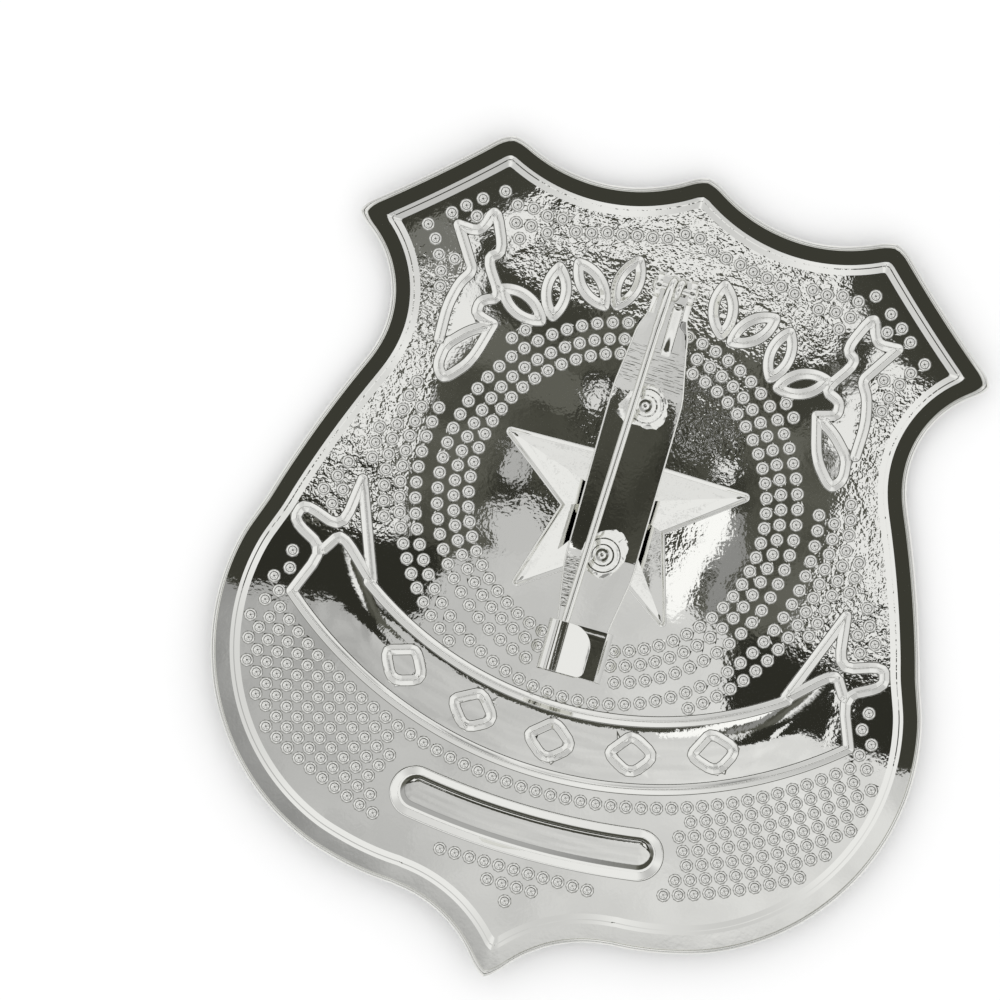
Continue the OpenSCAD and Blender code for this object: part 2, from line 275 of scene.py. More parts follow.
def line_distance(x, y):
    """Distance to the nearest stamped line, or 1.3 mm if it is further."""
    found = np.full_like(x, 1.3)
    for rows, things in line_grid.pairs(x, y):
        start, step = line_starts[things], line_steps[things]
        dx = x[rows, None] - start[:, 0]
        dy = y[rows, None] - start[:, 1]
        along = np.clip((dx * step[:, 0] + dy * step[:, 1]) / (step ** 2).sum(1), 0, 1)
        gap = np.hypot(dx - along * step[:, 0], dy - along * step[:, 1])
        found[rows] = np.minimum(found[rows], gap.min(1))
    return found


def panel_distance(x, y):
    """Distance from the bent middle line of the number panel."""
    middle_y = panel_mid_y + panel_bend_r
    end = math.asin((panel_half - panel_top_half) / panel_bend_r)
    turn = np.arctan2(np.abs(x), middle_y - y)
    along = np.abs(np.hypot(x, y - middle_y) - panel_bend_r)
    end_x, end_y = panel_bend_r * math.sin(end), middle_y - panel_bend_r * math.cos(end)
    return np.where(turn < end, along, np.hypot(np.abs(x) - end_x, y - end_y))


star_half_turn = math.radians(36)
star_tip = np.array([0, star_r])
star_corner = star_inner_r * np.array([math.sin(star_half_turn), math.cos(star_half_turn)])
star_edge = star_corner - star_tip
star_normal = np.array([-star_edge[1], star_edge[0]]) / np.hypot(*star_edge)
star_reach = star_normal @ star_tip + star_round


def star_form(x, y):
    """Distance to the star's rounded edge, inside it positive, and the facet's height over the middle."""
    turn = np.arctan2(x, y)
    turn = np.abs((turn + star_half_turn) % (2 * star_half_turn) - star_half_turn)
    r = np.hypot(x, y)
    px, py = r * np.sin(turn), r * np.cos(turn)
    out = star_normal[0] * px + star_normal[1] * py
    over = star_normal @ star_tip - out
    along = ((px - star_tip[0]) * star_edge[0] + (py - star_tip[1]) * star_edge[1]) / (star_edge @ star_edge)
    past = along.clip(0, 1) * star_edge[:, None] + star_tip[:, None] - np.stack([px, py])
    depth = star_round + np.sign(over) * np.hypot(past[0], past[1])
    return depth, (star_depth - star_lip_drop) * np.maximum(out / star_reach, 0) ** star_swell


def ring_of_dots(radius, count, first, last):
    """Dots on both sides between two bearings from the top."""
    turn = (np.arange(count) + 0.5) * 360 / count
    from_top = np.minimum(turn, 360 - turn)
    turn = np.radians(turn[(from_top >= first) & (from_top <= last)])
    return np.column_stack([radius * np.sin(turn), radius * np.cos(turn)])


# the rings of points that each dot is drawn with: radius and number
dot_rings = [(0.1, 5), (0.24, 7), (0.395, 8), (0.53, 9), (0.645, 9)]
dot_pitch = 1.4
dot_row_gap = 1.32
dot_least_gap = 1.3


def dot_places():
    """Where the dots are: three whole rings, part rings, the lower fans and the rows at the top."""
    rings = [
        # radius, number in a whole ring, first and last bearing
        (13.65, 62, 0, 180), (15.0, 68, 0, 180), (16.5, 73, 0, 180), (17.9, 78, 28, 52),
        (18.5, 81, 74, 180), (19.95, 88, 76, 146), (21.4, 94, 74, 110), (22.8, 100, 88, 104),
    ]
    places = [ring_of_dots(*ring) for ring in rings]
    side = [(24.7, -3.1), (25.3, -4.6), (24.5, -5.7), (26.2, -6.1), (25.1, -7.2), (23.8, -.4),
            (27.4, -12.3), (27.2, -13.9), (28.4, -15), (27.6, -16.2), (28.6, -17.3),
            (0.7, 25.3), (2.1, 24.5), (3.5, 24.2), (4.9, 24), (6.2, 23.7), (7.6, 23.5), (9, 23.1),
            (10.4, 22.8), (11.9, 23.6), (13.3, 23.5), (14.7, 23.8), (16.2, 23.7), (17.6, 24.6),
            (19.4, 23.4), (20.7, 22.4), (21.8, 21.4), (19.5, 21.7), (14.5, 22.2), (15.9, 22.1),
            (12.9, 22), (15.2, 20.8), (23.6, 19.8), (22.6, 18.7), (21.9, 17.4), (20.4, 17.4),
            (21.3, 16), (21, 14.6)]
    side = np.array(side)
    places += [side, side * [-1, 1], np.array([(0, 26.1)])]
    for row in range(14):
        radius = 42.2 + dot_row_gap * row
        step = math.degrees(dot_pitch / radius)
        count = int(46 / step)
        turn = np.radians((np.arange(-count, count + 1) + (row % 2) / 2) * step)
        fan = np.column_stack([radius * np.sin(turn), ribbon_mid_y - radius * np.cos(turn)])
        if row:
            fan = fan[(np.abs(fan[:, 0]) > 13.6) | (fan[:, 1] < -34.3) & (np.abs(fan[:, 0]) > 10.8)]
        places.append(fan)
    for y, half_count in ((-34.9, 5), (-36.4, 1.5), (-37.9, 0)):
        x = np.arange(-half_count, half_count + 1) * dot_pitch
        places.append(np.column_stack([x, np.full_like(x, y)]))
    places = np.vstack(places)
    x, y = places[:, 0], places[:, 1]
    # none on the rim's side of the border, on a line, on the panel, or under the catch
    keep = (inside(x, y) > 3.3) & (line_distance(x, y) > 1.0)
    keep &= (y > -20) | (inside(x, y) > 4.2) | (np.abs(x) > 24)
    keep &= panel_distance(x, y) > panel_top_half + 1.0
    keep &= (np.abs(x) > 3.3) | (y < -17.5) | (y > -11)
    kept = []
    for i in np.flatnonzero(keep):
        if all((x[i] - x[j]) ** 2 + (y[i] - y[j]) ** 2 > dot_least_gap ** 2 for j in kept):
            kept.append(i)
    return places[kept]


dots = dot_places()
dot_grid = Grid(dots, dot_reach + 0.2)


def dot_distance(x, y):
    """Distance to the middle of the nearest dot, or a millimetre if it is further."""
    found = np.full_like(x, 1.0)
    for rows, things in dot_grid.pairs(x, y):
        gap = np.hypot(x[rows, None] - dots[things, 0], y[rows, None] - dots[things, 1]).min(1)
        found[rows] = np.minimum(gap, 1.0)
    return found


def line_form(gap):
    """The depth of a stamped line: two straight walls that meet at its middle, with eased edges."""
    soft = 0.05
    wall = line_depth * (1 - np.hypot(gap, soft) / math.hypot(line_half, soft))
    out = np.clip((line_edge - gap) / (line_edge - line_half), 0, 1)
    lip = line_lip_slope * (line_edge - line_half) / 2
    return np.where(gap < line_half, wall + lip, lip * out ** 2)


def sheet_z(x, y, bead_h=edge_h):
    """Height of the sheet's back face in millimetres."""
    dish = middle_z + dish_sag * (x * x + y * y) / dish_r ** 2
    shape = x.shape
    depth, climb = star_form(x.ravel(), y.ravel())
    lip = ease(depth.reshape(shape) / star_lip)
    z = dish * (1 - lip) + (middle_z - star_depth + climb.reshape(shape)) * lip
    away = panel_distance(x, y)
    z = z - np.interp(away, panel_away, panel_climb[-1] - panel_climb)
    across = (np.hypot(x, y - ribbon_mid_y) - ribbon_centre_r) * 2 / ribbon_width
    z = z - ribbon_puff * np.clip(1 - across ** 2, 0, 1) * ease((ribbon_puff_end - np.abs(x)) / 6) * (y < 0)
    z = z - line_form(line_distance(x, y))
    z = z - np.interp(dot_distance(x, y), dot_radii, dot_climb[-1] - dot_climb)
    rim = inside(x, y)
    t = (rim - band_w) / step_w
    step = ledge_from * np.clip(t / ledge_from, 0, 1)
    step = step + (1 - ledge_from) * np.clip((t - ledge_to) / (1 - ledge_to), 0, 1)
    bead = np.sqrt(np.clip(1 - ((rim - edge_w / 2) / (edge_w / 2)) ** 2, 0, 1))
    return z - rim_drop * (1 - step) + rim_tilt * np.clip(band_w - rim, 0, band_w) + bead_h * bead


def slid(points, field, level):
    """Points slid down a field's slope until they lie on its level line."""
    e = 0.01
    for _ in range(6):
        x, y = points[:, 0], points[:, 1]
        gx = (field(x + e, y) - field(x - e, y)) / (2 * e)
        gy = (field(x, y + e) - field(x, y - e)) / (2 * e)
        move = (level - field(x, y)) / np.maximum(gx * gx + gy * gy, 0.2)
        points = points + np.column_stack([gx, gy]) * np.clip(move, -0.6, 0.6)[:, None]
    return points


def outline_loop(offset, spacing):
    """A closed loop of points a given distance inside the outline."""
    guide = []
    for arc, start, end, side in (
            (top_arc, 229.8, 303.2, 1), (shoulder_arc, 225.03, 231.9, 1), (waist_arc, 111.6, 203, 1),
            (flare_arc, 24.2, 15.6, -1), (bulge_arc, 17, -71, -1), (low_arc, -73, -87, -1),
            (tip_arc, 93, 155.6, 1)):
        guide.append(arc_line(arc[:2], arc[2] + side * offset, start, end, spacing))
    right = np.vstack(guide)
    right = slid(right[right[:, 0] > 0.12], inside, offset)
    right = right[(right[:, 0] > 0.1)]
    ends = []
    for low, high in ((20.0, 33.0), (-47.0, -36.0)):
        # the loop's points on the middle line, by halving
        for _ in range(40):
            mid = (low + high) / 2
            deeper = float(inside(np.zeros(1), np.array([mid]))[0]) > offset
            if (mid > 0) == deeper:
                low = mid
            else:
                high = mid
        ends.append((0, mid))
    # points that an offset has folded back on its neighbours are left out
    kept = [right[0]]
    for p in right[1:]:
        if np.hypot(*(p - kept[-1])) > 0.5 * spacing:
            kept.append(p)
    right = np.array(kept)
    return np.vstack([[ends[0]], right, [ends[1]], flip(right)])


class Skin:
    """The points of one skin, those on the sharpest lines first, and the edges that it has to keep."""

    def __init__(self):
        self.points, self.edges, self.reach, self.size = [], [], [], 0

    def add(self, row, keep=False, closed=False, reach=0.085):
        """Adds points no nearer to earlier ones than reach; those kept are joined by edges."""
        first = self.size
        self.size += len(row)
        self.points.append(row)
        self.reach.append(np.full(len(row), 0.0 if keep else reach))
        if keep:
            self.edges.extend((first + i, first + i + 1) for i in range(len(row) - 1))
            if closed:
                self.edges.append((first + len(row) - 1, first))

    def thinned(self):
        """Drops points outside the sheet or too near an earlier one, and renumbers the edges."""
        points, reach = np.vstack(self.points), np.concatenate(self.reach)
        rim = inside(*points.T)
        cell = 0.45
        cells, number, kept = {}, {}, []
        for i, (x, y) in enumerate(points.tolist()):
            cx, cy = math.floor(x / cell), math.floor(y / cell)
            if reach[i] > 0:
                if rim[i] < rim_loops[-1] + 0.05:
                    continue
                near = (spot for ax in (cx - 1, cx, cx + 1) for ay in (cy - 1, cy, cy + 1)
                        for spot in cells.get((ax, ay), ()))
                limit = reach[i] ** 2
                if any((px - x) ** 2 + (py - y) ** 2 < limit for px, py in near):
                    continue
            cells.setdefault((cx, cy), []).append((x, y))
            number[i] = len(kept)
            kept.append(i)
        return points[kept], [(number[a], number[b]) for a, b in self.edges]

    def triangles(self):
        """The skin's points and its triangles, all inside the outline."""
        points, edges = self.thinned()
        laid = delaunay_2d_cdt([Vector(p) for p in points.tolist()], edges, [], 0, 1e-5)
        flat = np.array([tuple(p) for p in laid[0]])
        faces = np.array([face for face in laid[2] if len(face) == 3])
        middle = flat[faces].mean(1)
        return flat, faces[inside(*middle.T) > loop_start]


edge_top = edge_w / 2
step_stops = [band_w + share * step_w for share in (0, ledge_from, ledge_to, 1)]
rim_loops = [loop_start, 0.05, 0.12, edge_top, 0.33, 0.4, edge_w, 1.1] + step_stops


def sheet_skin(fine):
    """One skin of the sheet; the front, which lies face down, has fewer points."""
    skin = Skin()
    loops = rim_loops if fine else [loop_start, edge_top, edge_w] + step_stops
    for offset in loops:
        skin.add(outline_loop(offset, 0.5), keep=True, closed=True)
    star = np.array([(r * math.sin(math.radians(36 * i)), r * math.cos(math.radians(36 * i)))
                     for i, r in enumerate([star_r, star_inner_r] * 5)])
    guide = dense(np.vstack([star, star[:1]]), 0.33)[:-1]
    for depth in (0, 0.12, 0.21, 0.3, star_lip) if fine else (0, star_lip):
        # round the tips a few more points are needed
        swing = np.radians(np.linspace(-75, 75, 7))
        rounds = [tip * (1 - 0.2 / star_r) + 0.3 * np.column_stack(
                  [np.sin(swing + turn), np.cos(swing + turn)])
                  for tip, turn in ((star[i], math.radians(36 * i)) for i in (0, 2, 4, 6, 8))]
        loop = np.vstack([guide * (1 + 0.1 * star_round)] + rounds)
        loop = slid(loop, lambda x, y: star_form(x, y)[0], depth)
        order = np.argsort(np.arctan2(loop[:, 0], loop[:, 1]))
        skin.add(loop[order], keep=True, closed=True)
    for corner in star:
        skin.add(dense([corner * 0.06, corner * 0.93], 0.45), keep=True)
    skin.add(np.zeros((1, 2)))
    end = math.degrees(math.asin((panel_half - panel_top_half) / panel_bend_r))
    middle = (0, panel_mid_y + panel_bend_r)
    for away in (0, 0.5, 0.9, 1.2, 1.41, 1.62, 1.72, 1.97, 2.22, 2.36, 2.45) if fine else (0, 1.0, 1.7, 2.4):
        loop = [arc_line(middle, panel_bend_r + away, -90 - end, -90 + end, 0.5)]
        if away:
            for side, row in ((1, arc_line((0, 0), away, -90, 90, 0.3)[1:-1]),
                              (-1, arc_line((0, 0), away, 90, 270, 0.3)[1:-1])):
                centre = turned([(0, -panel_bend_r)], side * end, middle)[0]
                loop.append(turned(row, side * end, centre))
            loop.insert(2, arc_line(middle, panel_bend_r - away, -90 + end, -90 - end, 0.5))
        skin.add(np.vstack(loop), keep=True, closed=away > 0)
    for radius, count in dot_rings if fine else dot_rings[1::2]:
        turn = np.radians((np.arange(count) + radius * 3) * 360 / count)
        shape = radius * np.column_stack([np.cos(turn), np.sin(turn)])
        for dot in dots:
            skin.add(dot + shape, keep=True, closed=True)
    skin.add(dots)
    for share in (-0.7, -0.45, 0.0, 0.45, 0.7) if fine else ():
        # rows along the ribbon, whose floor is bowed
        radius = ribbon_centre_r + share * ribbon_width / 2
        skin.add(arc_line(ribbon_mid, radius, -90 - ribbon_upper[1], -90 + ribbon_upper[1], 0.7), reach=0.3)
    for offset in (line_half, line_edge) if fine else (line_edge,):
        # round each line's ends and sharp corners
        for line in lines:
            heading = np.unwrap(np.arctan2(*np.diff(line, axis=0).T))
            corners = np.flatnonzero(np.abs(np.diff(heading)) > math.radians(25)) + 1
            for corner in line[[0, *corners, -1]]:
                ring = arc_line(corner, offset, 0, 337.5, 0.4 * offset)
                near = line_distance(*ring.T)
                skin.add(ring[np.abs(near - offset) < 0.02])
    for offset in (0, 0.1, line_half, line_edge, 0.32) if fine else (0, line_edge):
        for line in lines:
            step = np.gradient(line, axis=0)
            side = np.column_stack([-step[:, 1], step[:, 0]]) / np.hypot(step[:, 0], step[:, 1])[:, None]
            for sign in (-1, 1) if offset else (1,):
                skin.add(line + side * offset * sign)
    pitch = 0.8 if fine else 1.1
    row_gap = pitch * math.sqrt(3) / 2
    rows = range(math.floor(tip_y / row_gap), math.ceil(top_y / row_gap))
    reach = math.ceil(sheet_high.x / mm / pitch)
    skin.add(np.array([(pitch * (i + 0.5 * (j % 2)), row_gap * j) for j in rows
                       for i in range(-reach, reach + 1)]), reach=0.55 * pitch)
    return skin.triangles()


def normals_at(x, y, bead_h):
    """The stamped form's normal at each point."""
    e = 0.003
    gx = (sheet_z(x + e, y, bead_h) - sheet_z(x - e, y, bead_h)) / (2 * e)
    gy = (sheet_z(x, y + e, bead_h) - sheet_z(x, y - e, bead_h)) / (2 * e)
    normals = np.column_stack([-gx, -gy, np.ones_like(gx)])
    return normals / np.linalg.norm(normals, axis=1, keepdims=True)


def skin_normals(flat, faces, bead_h):
    """Each corner's true normal, taken from the stamped form a little way into its own face."""
    corners = flat[faces]
    spot = corners + (corners.mean(1, keepdims=True) - corners) * 0.12
    return normals_at(spot[..., 0].ravel(), spot[..., 1].ravel(), bead_h)


back, back_faces = sheet_skin(True)
front, front_faces = sheet_skin(False)
back_z = sheet_z(*back.T)
front_z = sheet_z(front[:, 0], front[:, 1], 0) - sheet_t
wall_count = len(outline_loop(loop_start, 0.5))
wall = []
for i in range(wall_count):
    # the wall joins the two skins along the outline's own loop, which comes first in each
    j = (i + 1) % wall_count
    wall += [(j, i + len(back), i), (j, j + len(back), i + len(back))]
wall = np.array(wall)
spots = np.vstack([np.column_stack([back, back_z]), np.column_stack([front, front_z])])
spots = (spots + (0, star_y, 0)) * mm
mesh = bpy.data.meshes.new("shield_sheet")
faces = np.vstack([back_faces, front_faces[:, ::-1] + len(back), wall])
mesh.from_pydata(spots.tolist(), [], faces.tolist())
a, b, c = (spots[wall[:, k]] for k in range(3))
wall_normals = np.cross(b - a, c - a)
wall_normals /= np.linalg.norm(wall_normals, axis=1, keepdims=True)
mesh.normals_split_custom_set(np.vstack([
    skin_normals(back, back_faces, edge_h), -skin_normals(front, front_faces[:, ::-1], 0),
    np.repeat(wall_normals, 3, axis=0)]).tolist())
flat = np.vstack([back, front])
for name, measure in (("dot_gap", dot_distance), ("line_gap", line_distance), ("rim_gap", inside)):
    # the painted shade in the creases of the dots and lines follows these distances, and the ripples follow
    # the rim's
    mesh.attributes.new(name, "FLOAT", "POINT").data.foreach_set("value", measure(*flat.T))
sheet = bpy.data.objects.new("shield_sheet", mesh)
bpy.context.scene.collection.objects.link(sheet)


def node(tree, kind, *inputs, **settings):
    """Adds a shader node, sets its options, and fills its sockets in order with values or links."""
    made = tree.nodes.new("ShaderNode" + kind)
    for name, setting in settings.items():
        setattr(made, name, setting)
    for socket, item in zip(made.inputs, inputs):
        if isinstance(item, bpy.types.NodeSocket):
            tree.links.new(item, socket)
        elif item is not None:
            socket.default_value = item
    return made.outputs[0]


def maths(operation, *inputs):
    """A Math node in the tree that its first linked input belongs to."""
    tree = next(item.id_data for item in inputs if isinstance(item, bpy.types.NodeSocket))
    return node(tree, "Math", *inputs, operation=operation)


def times(first, *others):
    for item in others:
        first = maths("MULTIPLY", first, item)
    return first


def largest(first, *others):
    for item in others:
        first = maths("MAXIMUM", first, item)
    return first


def rise(item, low, high):
    """Zero below low, one above high, eased between."""
    return node(item.id_data, "MapRange", item, low, high, 0.0, 1.0, interpolation_type="SMOOTHSTEP")


def fall(item, low, high):
    return maths("SUBTRACT", 1.0, rise(item, low, high))


def band(item, low, foot, top, high):
    """One from foot to top, zero beyond low and high."""
    return times(rise(item, low, foot), fall(item, top, high))


def times_each(vector, scales):
    return node(vector.id_data, "VectorMath", vector, scales, operation="MULTIPLY")


def split_up(vector):
    """The x and y of a vector."""
    return node(vector.id_data, "SeparateXYZ", vector).node.outputs[:2]


def ripple_group():
    """Unevenness of the plating: long waves, short ripples and grain, heights in micrometres."""
    tree = bpy.data.node_groups.new("plating_ripple", "ShaderNodeTree")
    tree.interface.new_socket("Place", in_out="INPUT", socket_type="NodeSocketVector")
    for name in ("Waves", "Ripples", "Grain"):
        tree.interface.new_socket(name, in_out="INPUT", socket_type="NodeSocketFloat")
    tree.interface.new_socket("Height", in_out="OUTPUT", socket_type="NodeSocketFloat")
    given = tree.nodes.new("NodeGroupInput")
    total = 0.0
    for name, scale in (("Waves", 0.2), ("Ripples", 0.8), ("Grain", 3.1)):
        pattern = node(tree, "TexNoise", given.outputs["Place"], None, scale, 1.0, 0.5)
        pattern = maths("SUBTRACT", pattern, 0.5)
        total = maths("MULTIPLY_ADD", pattern, given.outputs[name], total)
    out = tree.nodes.new("NodeGroupOutput")
    tree.links.new(times(total, micron), out.inputs["Height"])
    return tree


plating_ripple = ripple_group()


def place_in_mm(tree):
    """Object coordinates in millimetres from the star's middle."""
    coords = tree.nodes.new("ShaderNodeTexCoord").outputs["Object"]
    return node(tree, "Mapping", coords, (0, -star_y, 0), None, (1 / mm, 1 / mm, 1 / mm))


def ripples(tree, place, waves, short, grain):
    """The group's height with this piece's own amounts."""
    return node(tree, "Group", place, waves, short, grain, node_tree=plating_ripple)


nickel = (0.82, 0.82, 0.79, 1)


def bright_metal(name, roughness):
    """A metal with nothing on it yet, its node tree and its shader."""
    metal = bpy.data.materials.new(name)
    metal.use_nodes = True
    shader = metal.node_tree.nodes["Principled BSDF"]
    for socket, value in (("Metallic", 1.0), ("Roughness", roughness), ("Base Color", nickel)):
        shader.inputs[socket].default_value = value
    return metal, metal.node_tree, shader


def bump(tree, shader, height):
    made = tree.nodes.new("ShaderNodeBump")
    made.inputs["Strength"].default_value = 1.0
    made.inputs["Distance"].default_value = 1.0
    tree.links.new(height, made.inputs["Height"])
    tree.links.new(made.outputs[0], shader.inputs["Normal"])


def sheet_metal():
    """Bright plate over stamped steel: rippled, grained where it was stretched, with painted shade in its
    creases.
    """
    metal, tree, shader = bright_metal("stamped_plate", 0.012)
    place = place_in_mm(tree)
    x, y = split_up(place)

    def distance(middle):
        return node(tree, "VectorMath", place, middle, operation="DISTANCE").node.outputs["Value"]

    def measure(name):
        return node(tree, "Attribute", attribute_name=name).node.outputs["Fac"]

    # the die stretched the sheet most at its sides and above the rings of dots, and left the corners,
    # the rings and the lower part smooth
    far_side = maths("ABSOLUTE", x)
    sides = times(rise(far_side, 18.5, 20.5), band(y, -11.0, -5.0, 14.0, 19.0), 0.95)
    crown = times(fall(far_side, 12.0, 16.0), rise(y, 15.0, 19.0))
    worn = times(fall(distance((5.0, 11.0, 0.0)), 3.0, 7.0), 0.8)
    centre = times(fall(distance((0.0, 0.0, 0.0)), 5.0, 9.0), 0.4)
    inner = maths("MULTIPLY_ADD", rise(measure("rim_gap"), 1.6, 2.6), 0.85, 0.15)
    stretched = times(largest(sides, crown, worn, centre), inner)
    waves, short, grain = (maths("MULTIPLY_ADD", stretched, most, least)
                           for most, least in ((16.0, 4.0), (8.0, 0.6), (4.4, 0.34)))
    bump(tree, shader, ripples(tree, place, waves, short, grain))
    # painted shade: dark lines in the creases of the dots and lines and a dark spot in each dot's pit, in
    # place of the dark reflections there; how strong, and from where to where
    creases = [("dot_gap", 0.8, (0.555, 0.59, 0.615, 0.642)), ("dot_gap", 0.6, (0.34, 0.37, 0.42, 0.45)),
               ("dot_gap", 0.4, (-0.2, -0.1, 0.06, 0.12)), ("line_gap", 0.8, (0.44, 0.47, 0.5, 0.535))]
    painted_crease_shade = largest(*(times(band(measure(name), *stops), strength) for name, strength, stops in creases))
    # painted shade: the crease bands mix the plate's colour towards near-black
    mix = tree.nodes.new("ShaderNodeMix")
    mix.data_type = "RGBA"
    tree.links.new(painted_crease_shade, mix.inputs["Factor"])
    mix.inputs[6].default_value = nickel
    mix.inputs[7].default_value = (0.10, 0.10, 0.08, 1)
    tree.links.new(mix.outputs[2], shader.inputs["Base Color"])
    return metal


sheet.data.materials.append(sheet_metal())
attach(sheet, "badge")
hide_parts("shield")

# The bar of the brooch pin. The real one is a steel strip, blanked, punched and bent in one press:
# its sides turn up at the catch end, the left one rolls over into the catch, two ears stand up at the
# hinge end, and a tongue is punched up between them. It is plated bright and riveted to the sheet.
bar_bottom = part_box("pin_bar")[0].z / mm
hinge_low, hinge_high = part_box("hinge_rivet")
bar_t = 0.6
bar_top = bar_bottom + bar_t
axle_y = (hinge_low.y + hinge_high.y) / 2 / mm - star_y
axle_z = (hinge_low.z + hinge_high.z) / 2 / mm
# the strip's left and right edges at each y
bar_sides = [(-12.9, -2.4, 2.4), (-11.6, -2.4, 2.45), (-6.5, -3.3, 3.25), (10.2, -3.35, 3.35),
             (15.0, -2.8, 2.35), (16.6, -2.65, 2.1), (17.3, -2.01, 1.61), (21.25, -2.01, 1.61)]
bar_bend_low, bar_bend_high, bar_level = -5.0, 10.8, 17.0
catch_low, catch_high = -16.4, -11.75
catch_t = 0.45
catch_x = 2.78
fold_r = 0.4
roll_r = 0.68
roll_z = 4.57
ear_r = 1.15
ear_t = 0.55
ear_places = (-2.05, 1.1)
slot_from, slot_to = 14.6, 19.0
tongue_low_x, tongue_high_x = 0.05, 0.95
tongue_t = 0.3
tongue_rise = 0.86
rivet_places = [("rivet_upper", 0.1, 9.2), ("rivet_lower", 0.0, -5.0)]
rivet_hole_r = 1.23


def at(x, y, z):
    """A place in metres from millimetres off the star's middle."""
    return Vector((x, y + star_y, z)) * mm


def bar_lift(y):
    """How far the bar's two bent ends stand off the level of its middle."""
    return 0.0145 * max(0, bar_bend_low - y) - 0.004 * max(0, min(y, bar_level) - bar_bend_high)


def chosen(piece):
    bpy.ops.object.select_all(action="DESELECT")
    piece.select_set(True)
    bpy.context.view_layer.objects.active = piece


def placed(piece):
    """Puts the piece's own place into its mesh."""
    chosen(piece)
    bpy.ops.object.transform_apply(location=True, rotation=True, scale=True)


def into_edit(piece):
    bpy.ops.object.mode_set(mode="EDIT")
    return bmesh.from_edit_mesh(piece.data)


def round_blank(name, vertices, radius, place, turn=(0, 0, 0)):
    """A filled circle in edit mode, all of it selected, from which a round piece is drawn out."""
    bpy.ops.object.select_all(action="DESELECT")
    turn = [math.radians(angle) for angle in turn]
    bpy.ops.mesh.primitive_circle_add(vertices=vertices, radius=radius * mm, fill_type="NGON",
                                      location=place, rotation=turn)
    blank = bpy.context.object
    blank.name = blank.data.name = name
    placed(blank)
    into_edit(blank)
    bpy.ops.mesh.select_all(action="SELECT")
    return blank


def extruded(along):
    bpy.ops.mesh.extrude_region_move(TRANSFORM_OT_translate={"value": along})


def drawn_out(along, size, middle):
    """Extrudes what is selected, and then resizes it about a middle."""
    extruded(along)
    bpy.ops.transform.resize(value=size, center_override=middle)


def out_of_edit():
    """Leaves edit mode with every face pointing outwards."""
    bpy.ops.mesh.select_all(action="SELECT")
    bpy.ops.mesh.normals_make_consistent(inside=False)
    bpy.ops.object.mode_set(mode="OBJECT")


def pick(shape, wanted):
    """Selects the vertices that pass a test, with the edges and faces between them."""
    for part in (shape.verts, shape.edges, shape.faces):
        for item in part:
            item.select = False
    for vert in shape.verts:
        vert.select = bool(wanted(vert.co))
    shape.select_flush(True)


def bent_strip(name, rows):
    """A strip whose edge is drawn out from row to row; a row gives its two ends."""
    bpy.ops.object.select_all(action="DESELECT")
    bpy.ops.mesh.primitive_plane_add(size=2 * mm)
    piece = bpy.context.object
    piece.name = piece.data.name = name
    shape = into_edit(piece)
    near, far = rows[0], rows[1]
    corners = sorted(shape.verts, key=lambda vert: (vert.co.y, vert.co.x))
    for vert, place in zip(corners, near + far):
        vert.co = place
    for row in rows[2:]:
        pick(shape, lambda place: min((place - end).length for end in far) < 1e-7)
        bpy.ops.mesh.extrude_edges_move()
        shape = bmesh.from_edit_mesh(piece.data)
        ends = [vert for vert in shape.verts if vert.select]
        ends.sort(key=lambda vert: (vert.co - far[0]).length)
        for vert, place in zip(ends, row):
            vert.co = place
        far = row
    bpy.ops.object.mode_set(mode="OBJECT")
    return piece


def finish_with(piece, kind, **settings):
    """Adds a modifier to the piece and applies it."""
    chosen(piece)
    modifier = piece.modifiers.new(kind.lower(), kind)
    for name, setting in settings.items():
        setattr(modifier, name, setting)
    bpy.ops.object.modifier_apply(modifier=modifier.name)


def fused(piece, others, operation="UNION"):
    """Joins others to the piece, or cuts them from it, and removes them."""
    for other in others:
        finish_with(piece, "BOOLEAN", operation=operation, solver="EXACT", object=other)
        bpy.data.objects.remove(other)


def edges_rounded(piece, width, segments=3):
    finish_with(piece, "BEVEL", width=width * mm, segments=segments, limit_method="ANGLE",
                angle_limit=math.radians(50))


def settled(piece, crease=35):
    """Rounds the shading of a piece, but not that of its flats."""
    placed(piece)
    bpy.ops.object.shade_smooth_by_angle(angle=math.radians(crease))
    finish_with(piece, "WEIGHTED_NORMAL", weight=100, keep_sharp=True)


def bar_strip():
    table = np.array(bar_sides)
    blur = np.linspace(-0.7, 0.7, 5)
    rows = []
    for y in np.concatenate([np.arange(bar_sides[0][0], bar_bend_low, 0.7), [bar_bend_low],
                             np.arange(-4, bar_bend_high, 2), [bar_bend_high],
                             np.linspace(11.5, bar_sides[-1][0], 17)]):
        left, right = (np.interp(y + blur, table[:, 0], table[:, k]).mean() for k in (1, 2))
        z = bar_top + bar_lift(y)
        rows.append([at(left, y, z), at(right, y, z)])
    strip = bent_strip("pin_bar_plate", rows)
    finish_with(strip, "SOLIDIFY", thickness=bar_t * mm, offset=-1)
    edges_rounded(strip, 0.15)
    return strip


def arc_stops(x, z, radius, start, end, count):
    return [(x + radius * math.cos(math.radians(turn)), z + radius * math.sin(math.radians(turn)))
            for turn in np.linspace(start, end, count)]


